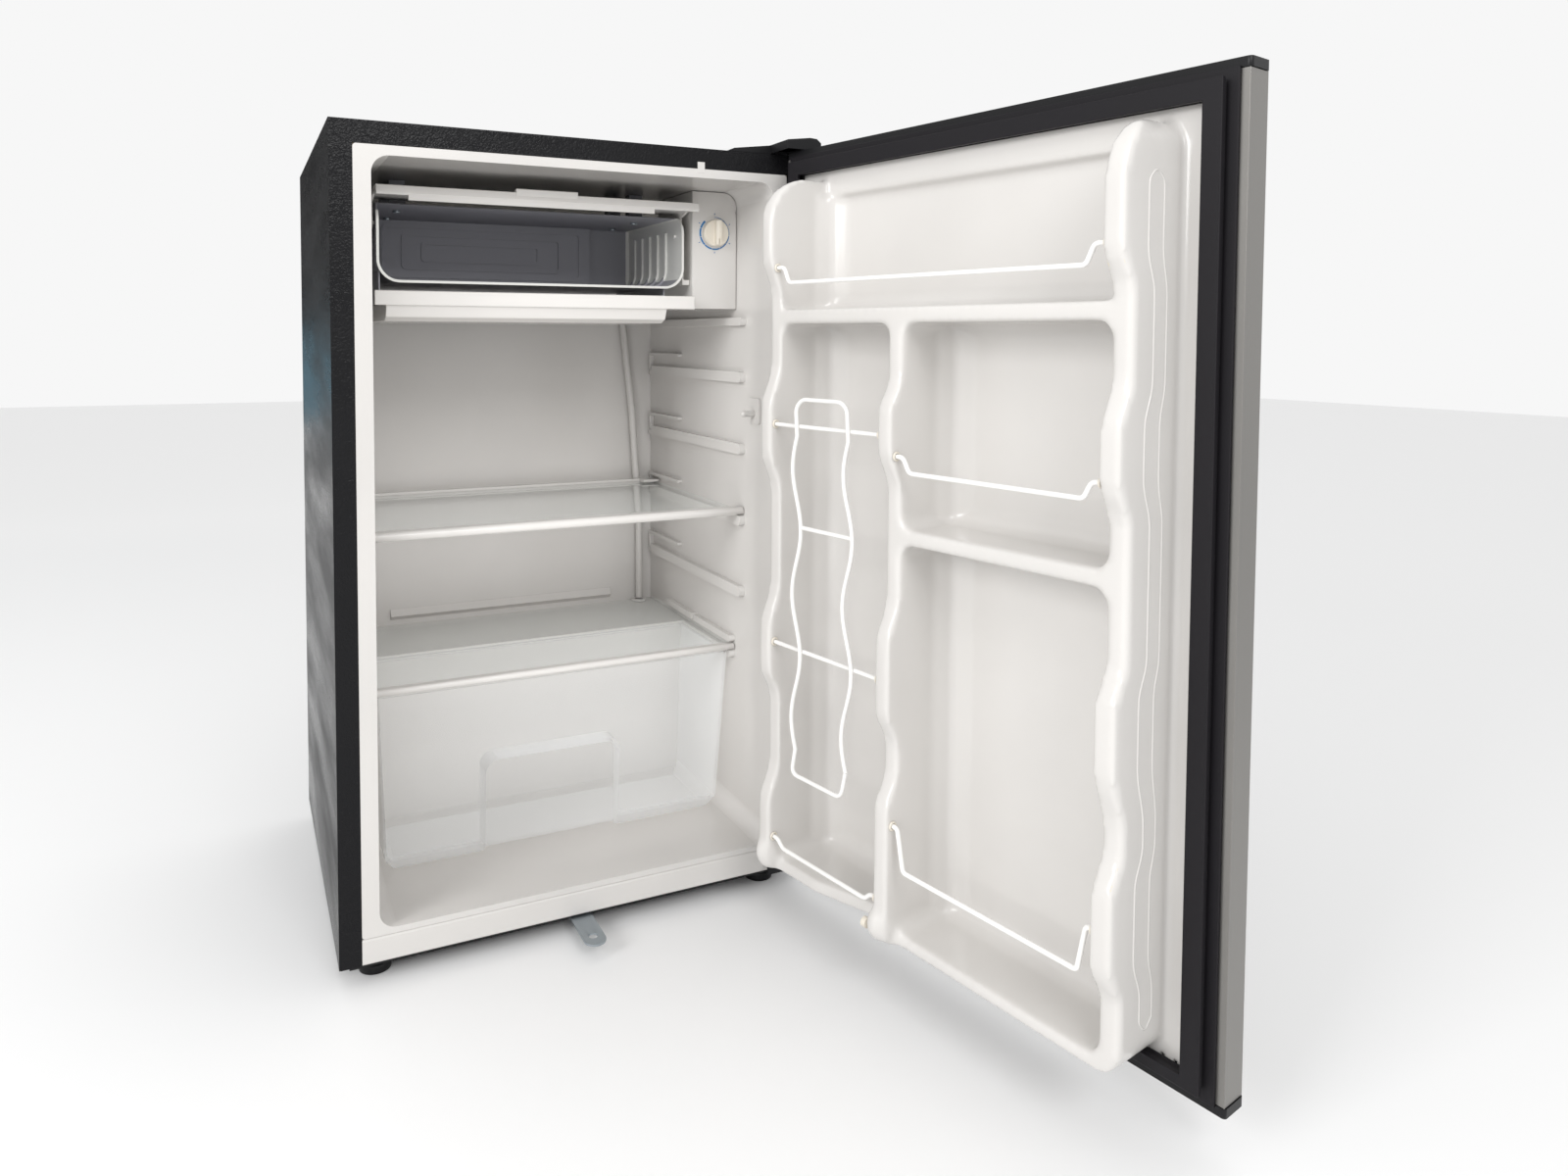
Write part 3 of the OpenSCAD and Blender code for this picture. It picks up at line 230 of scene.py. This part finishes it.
# one look for each material slot of the record
LOOKS = {
    "black_steel": stucco_material(),
    "silver_steel": material("silver_steel", (0.24, 0.232, 0.22), rough=0.36, metal=0.75,
                             grain=0.8, bump=0.08, wear=0.06),
    "white_plastic": material("white_plastic", (0.64, 0.622, 0.60), rough=0.18,
                              grain=1.2, bump=0.02, wear=0.04),
    "ivory_plastic": material("ivory_plastic", (0.72, 0.67, 0.58), rough=0.3,
                              grain=1.0, bump=0.04, wear=0.04),
    "dial_ink": material("dial_ink", (0.01, 0.15, 0.38), rough=0.5,
                         grain=0.4, bump=0.05, wear=0.05),
    "black_plastic": material("black_plastic", (0.007, 0.007, 0.008), rough=0.36,
                              grain=0.7, bump=0.12, wear=0.08, Specular_IOR_Level=0.25),
    "black_metal": material("black_metal", (0.010, 0.010, 0.011), rough=0.4,
                            grain=0.9, bump=0.12, wear=0.1, Specular_IOR_Level=0.3),
    "gasket": material("gasket", (0.009, 0.008, 0.010), rough=0.5,
                       grain=0.8, bump=0.10, wear=0.08, Specular_IOR_Level=0.22),
    "rubber": material("rubber", (0.015, 0.015, 0.015), rough=0.7,
                       grain=0.8, bump=0.2, wear=0.08, Specular_IOR_Level=0.25),
    "aluminium": evaporator_material(),
    "zinc": material("zinc", (0.36, 0.40, 0.43), rough=0.32, metal=0.9,
                     grain=1.5, bump=0.12, wear=0.1),
    "glass": clear_material("shelf_glass", (0.80, 0.86, 0.84), 0.04, facing=0.03, edge=0.26),
    "clear_plastic": clear_material("clear_plastic", (0.84, 0.85, 0.85), 0.08,
                                    facing=0.035, edge=0.9),
    "white_wire": material("white_wire", (0.86, 0.85, 0.83), rough=0.22,
                           grain=0.8, bump=0.05, wear=0.04),
    "foam": material("foam", (0.72, 0.62, 0.38), rough=0.9, grain=1.5, bump=0.4, wear=0.05),
    "copper": material("copper", (0.55, 0.24, 0.13), rough=0.35, metal=0.9,
                       grain=1.0, bump=0.1, wear=0.1),
}
# rounding of the edges in mm, for the slots that get one
EDGE_RADIUS = {"white_plastic": 1.0, "ivory_plastic": 0.7, "black_plastic": 0.8, "gasket": 0.9,
               "zinc": 0.25, "clear_plastic": 0.6, "glass": 0.4, "silver_steel": 0.3}


def dress():
    """Gives each CAD node the look of its material slot, and softens its edges."""
    for part in RECORD["subparts"]:
        obj = NODES[part["node"]]
        look = part["material_slot"]
        for place in obj.material_slots:
            place.material = LOOKS[look]
        if look in ("glass", "clear_plastic"):
            obj.visible_shadow = obj.visible_diffuse = False
        if look in EDGE_RADIUS:
            weld = obj.modifiers.new("weld", "WELD")
            weld.merge_threshold = WELD
            bevel = obj.modifiers.new("bevel", "BEVEL")
            bevel.width = EDGE_RADIUS[look] * MM
            bevel.segments = 2
            bevel.limit_method = "ANGLE"
            bevel.angle_limit = math.radians(40)
            bevel.harden_normals = False


# ---------- pieces built in Blender ----------
def mesh_of(bm, name):
    """A mesh with what the bmesh holds, which is then freed."""
    mesh = bpy.data.meshes.new(name)
    bm.to_mesh(mesh)
    bm.free()
    return mesh


def on_door(name, data, look, node=None):
    """A piece of the door in that look, which stands for a CAD node if one is named."""
    data.materials.append(LOOKS[look])
    obj = bpy.data.objects.new(name, data)
    bpy.context.scene.collection.objects.link(obj)
    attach(obj, "door")
    if node:
        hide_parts(node)
    return obj


def fillet(bm, place, radius):
    """A strip that fills a hollow corner; place(d, w, t) gives a point d away from the side
    wall, w off the back wall, at share t of the corner's length."""
    sunk, crease = -1, radius * 0.3
    profile = [(sunk, sunk), (sunk, radius), (0, radius), (crease, crease), (radius, 0),
               (radius, sunk)]
    rings = [[bm.verts.new(place(d, w, t)) for d, w in profile] for t in (0, 1)]
    n = len(profile)
    for i in range(n):
        bm.faces.new([rings[0][i], rings[0][(i + 1) % n], rings[1][(i + 1) % n], rings[1][i]])
    bm.faces.new(rings[0])
    bm.faces.new(rings[1])


def bin_fillets(bm):
    """Strips where the back wall of each door bin meets its sides, floor and roof."""
    for bin_box in (CAN_COLUMN, TOP_BIN, SHELF_BIN, BOTTLE_BIN):
        u0, u1, z0, z1 = bin_box
        for u, way in ((u0, 1), (u1, -1)):
            fillet(bm, lambda d, w, t: door(u + way * d, BIN_BACK + w, z0 + t * (z1 - z0)),
                   SIDE_FILLET)
        # the top bin has a floor and no roof
        levels = [(z0, 1)] if bin_box == TOP_BIN else [(z0, 1), (z1, -1)]
        for z, way in levels:
            fillet(bm, lambda d, w, t: door(u0 + t * (u1 - u0), BIN_BACK + w, z + way * d),
                   LEVEL_FILLET)


def divider_lobes(bm):
    """Rounded lobes at the feet of the middle divider and the hinge side divider."""
    # centre on the door, and half the size along X, Y and Z
    lobes = [((209, 65, 66), (15, 12, 16)), ((53, 62, 68), (17, 10, 19))]
    for centre, half in lobes:
        stretch = Matrix.Diagonal((*[v * MM for v in half], 1))
        place = Matrix.Translation(door(*centre)) @ stretch
        bmesh.ops.create_icosphere(bm, subdivisions=4, radius=1, matrix=place)


def moulded_liner():
    """The door liner and the foam behind it, turned into one moulded skin with soft edges."""
    bm = bmesh.new()
    for node in ("door_liner", "door_foam"):
        bm.from_mesh(NODES[node].data)
    bmesh.ops.remove_doubles(bm, verts=bm.verts, dist=WELD)
    bin_fillets(bm)
    divider_lobes(bm)
    bmesh.ops.recalc_face_normals(bm, faces=bm.faces)
    mesh = mesh_of(bm, "door_liner_moulded")
    liner = on_door("door_liner_moulded", mesh, "white_plastic", "door_liner")
    remesh = liner.modifiers.new("remesh", "REMESH")
    remesh.mode = "VOXEL"
    remesh.voxel_size = 2 * MM
    remesh.use_smooth_shade = True
    soft = liner.modifiers.new("soft", "SMOOTH")
    soft.factor = 0.5
    soft.iterations = 24


def rounded(points, bend):
    """The points with each inner corner turned into an arc that starts bend mm before it."""
    steps = 6
    out = [points[0]]
    for a, p, b in zip(points, points[1:], points[2:]):
        da, db = (a - p), (b - p)
        reach = min(bend * MM, da.length * 0.48, db.length * 0.48)
        start, end = p + da.normalized() * reach, p + db.normalized() * reach
        for i in range(steps + 1):
            t = i / steps
            out.append(start.lerp(p, t).lerp(p.lerp(end, t), t))
    out.append(points[-1])
    return out


def tubes(name, routes, radius, look, node=None, fineness=4):
    """Round bars along the routes, joined in one piece of the door."""
    curve = bpy.data.curves.new(name, "CURVE")
    curve.dimensions = "3D"
    curve.bevel_depth = radius * MM
    curve.bevel_resolution = fineness
    curve.use_fill_caps = True
    for route in routes:
        spline = curve.splines.new("POLY")
        spline.points.add(len(route) - 1)
        for point, p in zip(spline.points, route):
            point.co = (*p, 1)
        spline.use_smooth = True
    on_door(name, curve, look, node)


def wires(name, node, routes):
    """White wires along the routes, as one piece that stands for the CAD wires."""
    tubes(name, routes, WIRE_R, "white_wire", node, fineness=5)


def seated(bin_box):
    """Where the two ends of a wire that crosses a bin sit in its dividers."""
    return bin_box[0] - WIRE_SEAT, bin_box[1] + WIRE_SEAT


def dropped(bin_box, w, z0, z1, run):
    """Route of a wire that crosses a bin at depth w and drops in the middle from z0 to z1."""
    u0, u1 = seated(bin_box)
    foot = run + DROP_SLANT
    return rounded([door(u0, w, z0), door(u0 + run, w, z0), door(u0 + foot, w, z1),
                    door(u1 - foot, w, z1), door(u1 - run, w, z0), door(u1, w, z0)], 4)


def can_rack():
    """Routes of the can rack: a wavy closed loop, a rung and two cross wires."""
    def wave(middle, z):
        swing = WAVE_SWING * math.cos(math.tau * (z - WAVE_CREST_Z) / WAVE_LENGTH)
        return door(middle - swing, RACK_W, z)

    left, right = [[wave(rail, z) for z in WAVE_Z] for rail in RACK_RAILS]
    # corners of the loop's foot and head, in u and z
    foot = [door(u, RACK_W, z) for u, z in ((160, 160.5), (92, 160.5))]
    head = [door(u, RACK_W, z) for u, z in ((95, 513), (104, 521), (156, 521), (164, 515))]
    loop = (rounded([right[0]] + foot + [left[0]], 9)[:-1] + left
            + rounded([left[-1]] + head + [right[-1]], 8)[1:] + right[::-1])
    rung = [wave(rail, RUNG_Z) for rail in RACK_RAILS]
    cross = [[door(u, CAN_WIRE_W, z) for u in seated(CAN_COLUMN)] for z in CROSS_Z]
    return [loop, rung] + cross


def bulge(z):
    """How far the free divider's wavy edge stands out at height z, from 0 to 1."""
    def ramp(a, b):
        t = min(1, max(0, (z - a) / (b - a)))
        return (1 - math.cos(math.pi * t)) / 2
    return max(ramp(a, b) * (1 - ramp(c, d)) for a, b, c, d in FREE_BULGES)


def pressed_rib():
    """Route of the long wavy loop pressed into the outer side of the free divider."""
    low, high, steps = 84, 690, 80
    sunk = 0.4
    # depth of the loop's two long sides, and how much deeper each is at a bulge
    far_w, far_swing = 34, 9
    near_w, near_swing = 18, 6

    def side(w, swing):
        heights = [low + (high - low) * i / steps for i in range(steps + 1)]
        return [door(FREE_OUTER - sunk, w + swing * bulge(z), z) for z in heights]

    far, near = side(far_w, far_swing), side(near_w, near_swing)
    # the loop reaches this far past both ends of its sides
    reach = Vector((0, 0, 9 * MM))
    return rounded([near[0], near[0].lerp(far[0], 0.5) - reach] + far
                   + [near[-1].lerp(far[-1], 0.5) + reach] + near[::-1], 8)


def divider_boss():
    """Route of a short round boss at the foot of the middle divider."""
    end_u, length, w, z = 200, 4.8, 74, 64
    return [door(end_u - length * share, w, z) for share in (0, 0.5, 1)]


def ring(bm, u, w, z, side):
    """A torus round a wire where it enters a divider at u. side is 1 if the bin lies at
    greater u, and -1 if it lies at smaller u."""
    around, across = 16, 8
    ring_r, tube_r, proud = 3.3, 1.0, 0.9
    hoops = []
    for i in range(around):
        a = math.tau * i / around
        hoop = []
        for j in range(across):
            b = math.tau * j / across
            r = ring_r + tube_r * math.cos(b)
            hoop.append(bm.verts.new(door(u + side * (proud + tube_r * math.sin(b)),
                                          w + r * math.cos(a), z + r * math.sin(a))))
        hoops.append(hoop)
    for i in range(around):
        for j in range(across):
            k, m = (i + 1) % around, (j + 1) % across
            face = bm.faces.new([hoops[i][j], hoops[k][j], hoops[k][m], hoops[i][m]])
            face.smooth = True


def bush_rings():
    """Ringed bushes where the wires enter the dividers."""
    crossings = [(bin_box, w, z) for _, _, bin_box, w, z, _, _ in DROPPED_WIRES]
    crossings += [(CAN_COLUMN, CAN_WIRE_W, z) for z in CROSS_Z]
    bm = bmesh.new()
    for (u0, u1, _, _), w, z in crossings:
        ring(bm, u0, w, z, 1)
        ring(bm, u1, w, z, -1)
    bmesh.ops.recalc_face_normals(bm, faces=bm.faces)
    on_door("bush_rings", mesh_of(bm, "bush_rings"), "ivory_plastic", "wire_bushes")


def build():
    """The pieces that stand for CAD nodes, and two details that CAD leaves out."""
    moulded_liner()
    for name, node, bin_box, w, z0, z1, run in DROPPED_WIRES:
        wires(name, node, [dropped(bin_box, w, z0, z1, run)])
    wires("can_ladder", "can_rack", can_rack())
    tubes("pressed_rib", [pressed_rib()], 1.0, "white_plastic")
    tubes("divider_boss", [divider_boss()], 4.6, "ivory_plastic")
    bush_rings()


# ---------- stage, in metres ----------
def light(name, size, power, place, target, mirrored=True):
    """A soft area light at place that looks at target, and shows in reflections or not."""
    data = bpy.data.lights.new(name, "AREA")
    data.shape = "RECTANGLE"
    data.size, data.size_y = size
    data.energy = power
    obj = bpy.data.objects.new(name, data)
    obj.location = place
    obj.rotation_euler = (Vector(target) - Vector(place)).to_track_quat("-Z", "Y").to_euler()
    obj.visible_camera = False
    obj.visible_glossy = mirrored
    bpy.context.scene.collection.objects.link(obj)


def stage_object(name, mesh, paint):
    """An object of the stage in that material."""
    mesh.materials.append(paint)
    obj = bpy.data.objects.new(name, mesh)
    bpy.context.scene.collection.objects.link(obj)
    return obj


def card(name, xs, y, zs, colour):
    """An upright card at y that only reflections see."""
    bm = bmesh.new()
    corners = ((xs[0], zs[0]), (xs[1], zs[0]), (xs[1], zs[1]), (xs[0], zs[1]))
    bm.faces.new([bm.verts.new((x, y, z)) for x, z in corners])
    paint = material(name, colour, rough=0.9, grain=3, bump=0.02)
    obj = stage_object(name, mesh_of(bm, name), paint)
    obj.visible_camera = obj.visible_diffuse = obj.visible_shadow = False


def add_floor():
    """A large pale floor just under the feet."""
    bm = bmesh.new()
    bmesh.ops.create_grid(bm, x_segments=2, y_segments=2, size=9)
    paint = material("floor_paint", (0.86, 0.86, 0.86), rough=0.7, grain=3, bump=0.02)
    stage_object("floor", mesh_of(bm, "floor"), paint).location = (0, 0, -0.5 * MM)


def add_surround():
    """An even white surround."""
    world = bpy.data.worlds.new("studio")
    world.use_nodes = True
    back = world.node_tree.nodes["Background"]
    back.inputs["Color"].default_value = (1, 1, 1, 1)
    back.inputs["Strength"].default_value = 0.93
    bpy.context.scene.world = world


def add_camera():
    """The camera, to the front left of the cabinet at three quarters of its height. It is
    tilted a little, and its lens is shifted down to see the feet."""
    camera = bpy.data.cameras.new("camera")
    camera.sensor_width = 36
    camera.lens = 24.05
    camera.shift_x = 0.0463
    camera.shift_y = -0.1303
    camera.clip_start = 0.05
    obj = bpy.data.objects.new("camera", camera)
    obj.location = (-0.3227, -1.1844, 0.5998)
    obj.rotation_euler = [math.radians(a) for a in (87.416, -0.160, -24.752)]
    bpy.context.scene.collection.objects.link(obj)
    bpy.context.scene.camera = obj
    bpy.context.scene.view_settings.view_transform = "Standard"


def set_stage():
    """Pale floor, white surround, soft lights, reflected cards and the camera."""
    add_floor()
    add_surround()
    light("key", (1.0, 1.0), 31, (-2.2, -1.2, 1.4), (0.2, -0.3, 0.4))
    light("front", (0.8, 0.6), 11, (-0.1, -2.0, 1.5), (0.0, 0.0, 0.3))
    light("cavity_fill", (0.36, 0.58), 0.27, (0.0, -0.165, 0.40), (0.0, 0.1, 0.40),
          mirrored=False)
    # the cabinet's left side mirrors a dark card above a blue one
    xs, y, low, split, high = (-1.5, -0.2), 2.6, 0.30, 0.62, 2.6
    card("dark_card", xs, y, (split, high), (0.02, 0.02, 0.02))
    card("blue_card", xs, y, (low, split), (0.16, 0.30, 0.38))
    add_camera()


dress()
build()
set_stage()
